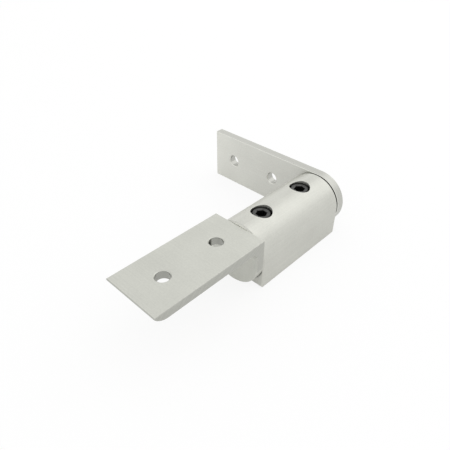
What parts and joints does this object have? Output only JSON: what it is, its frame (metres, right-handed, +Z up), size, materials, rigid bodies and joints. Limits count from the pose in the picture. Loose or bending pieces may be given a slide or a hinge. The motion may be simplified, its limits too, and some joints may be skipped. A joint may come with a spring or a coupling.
{
  "type": "profile pivot joint",
  "caption": "Pivot joint for slotted framing profile: a straight leaf and a right-angle arm swivel on one axle held in a D-shaped housing.",
  "frame": {"origin": "centre of the housing's flat base", "axes": "+Z up, square to the base; +Y along the pivot axis, from the straight leaf towards the right-angle arm; +X to the right"},
  "size_m": [0.1144, 0.1654, 0.0381],
  "materials": {
    "anodised_housing": "fine satin, clear anodised extrusion",
    "anodised_plate": "satin, clear anodised plate with sawn edges",
    "ground_steel": "ground round bar",
    "black_steel": "black oxide",
    "zinc_steel": "bright zinc plate",
    "black_polymer": "moulded bearing plastic"
  },
  "bodies": {
    "housing": {"pivot_housing": "anodised_housing", "pivot_axle": "ground_steel", "axle_cap_screws": "black_steel", "end_washers": "zinc_steel", "end_screws": "black_steel"},
    "leaf": {"straight_leaf": "anodised_plate", "front_bushing": "black_polymer"},
    "arm": {"right_angle_arm": "anodised_plate", "rear_bushing": "black_polymer"}
  },
  "joints": [
    {"name": "leaf_swivel", "type": "hinge", "parent": "housing", "child": "leaf", "pos_m": [0, -0.0412, 0.01905], "axis": [0, 1, 0], "continuous": true},
    {"name": "arm_swivel", "type": "hinge", "parent": "housing", "child": "arm", "pos_m": [0, 0.042, 0.01905], "axis": [0, 1, 0], "continuous": true}
  ]
}
